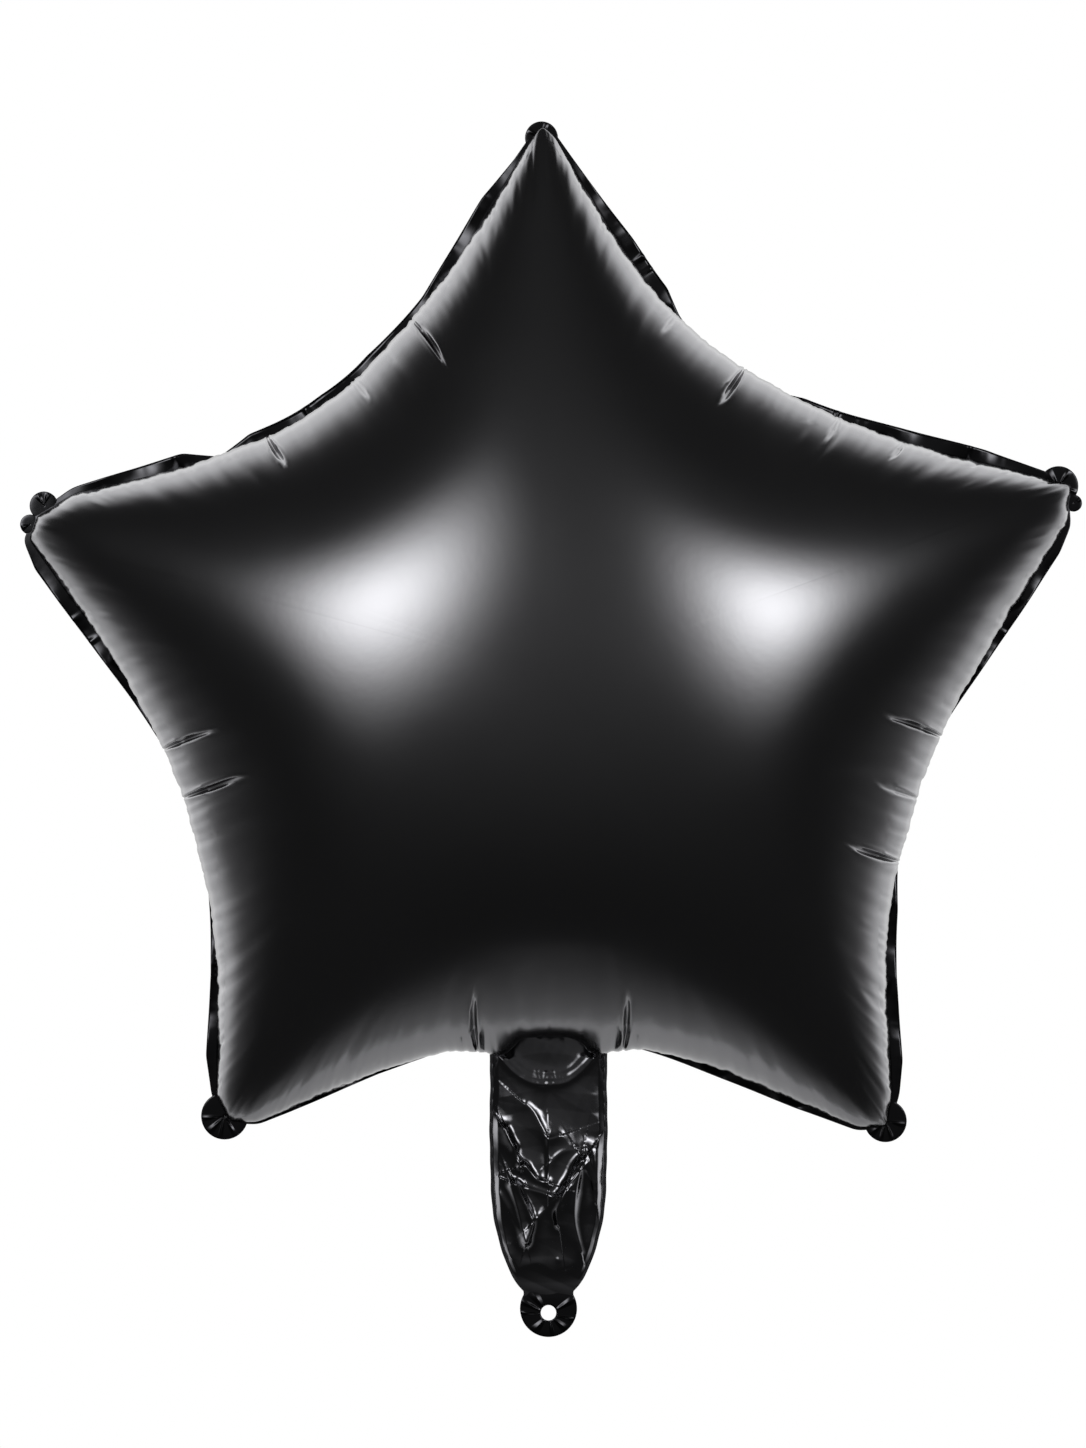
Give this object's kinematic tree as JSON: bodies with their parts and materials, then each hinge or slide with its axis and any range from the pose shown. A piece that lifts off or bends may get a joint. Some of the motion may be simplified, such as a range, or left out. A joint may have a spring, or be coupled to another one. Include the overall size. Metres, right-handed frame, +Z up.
{
  "type": "foil balloon",
  "caption": "Star-shaped inflated foil balloon with a sealed edge flange, round tip tabs and a crumpled filling tail with a tie hole.",
  "frame": {"origin": "centre of the tie hole in the end tab of the filling tail", "axes": "+Z up the tail to the tip of the top arm, -Y out of the front, +X to the right as seen from the front"},
  "size_m": [0.4247, 0.1586, 0.4863],
  "materials": {
    "black_foil": "satin metallised film"
  },
  "bodies": {
    "root": {"foil_balloon": "black_foil"}
  },
  "joints": []
}
